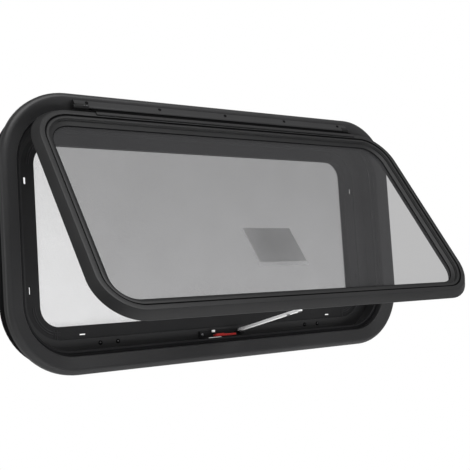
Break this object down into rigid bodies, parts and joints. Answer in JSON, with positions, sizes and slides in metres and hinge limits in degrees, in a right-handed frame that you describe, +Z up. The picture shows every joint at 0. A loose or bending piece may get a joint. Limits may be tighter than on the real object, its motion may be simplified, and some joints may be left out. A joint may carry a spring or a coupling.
{
  "type": "top-hung caravan window with insect screen",
  "caption": "Black aluminium caravan window: a glazed sash hinged at the top opens outward over an insect screen, held by a stay arm.",
  "frame": {"origin": "back of the flange's foot, where it meets the wall's outer skin, at the middle of the bottom rail", "axes": "+Y into the caravan, -Y outside, +X to the right seen from outside, +Z up"},
  "size_m": [0.97, 0.343, 0.51],
  "materials": {
    "frame_black": "satin powder coat",
    "rubber": "matt",
    "black_plastic": "matt",
    "mesh": "woven",
    "steel": "brushed",
    "white_plastic": "satin",
    "red_plastic": "satin",
    "arm_silver": "anodised",
    "tinted_pane": "gloss, grey tint",
    "label": "matt film"
  },
  "bodies": {
    "frame": {"outer_frame": "frame_black", "recess_seal": "rubber", "hinge_rail": "frame_black", "clamp_ring_top": "frame_black", "clamp_ring_bottom": "frame_black", "clamp_ring_left": "frame_black", "clamp_ring_right": "frame_black", "clamp_ring_corners": "black_plastic", "screen_frame": "black_plastic", "screen_mesh": "mesh", "operator_base": "black_plastic", "pivot_pin": "steel", "release_plate": "white_plastic"},
    "sash": {"sash_frame": "frame_black", "hinge_bar": "frame_black", "pane": "tinted_pane", "outer_gasket": "rubber", "inner_bead": "rubber", "stay_bracket": "frame_black", "escape_label": "label"},
    "arm": {"stay_arm": "arm_silver", "arm_rivet": "steel"},
    "lever": {"release_lever": "red_plastic"}
  },
  "joints": [
    {"name": "sash_hinge", "type": "hinge", "parent": "frame", "child": "sash", "pos_m": [0, -0.022, 0.4565], "axis": [-1, 0, 0], "range_deg": [-33.3, 0]},
    {"name": "arm_swing", "type": "hinge", "parent": "frame", "child": "arm", "pos_m": [0.045, 0.027, 0.0275], "axis": [0, 0.153, 0.9882], "range_deg": [-79.5, 0]},
    {"name": "lever_pull", "type": "hinge", "parent": "frame", "child": "lever", "pos_m": [-0.02, 0.024, 0.0201], "axis": [0, 0, -1], "range_deg": [0, 15]}
  ],
  "couplings": [
    {"joint": "arm_swing", "follows": "sash_hinge", "ratio": 2.3874}
  ]
}
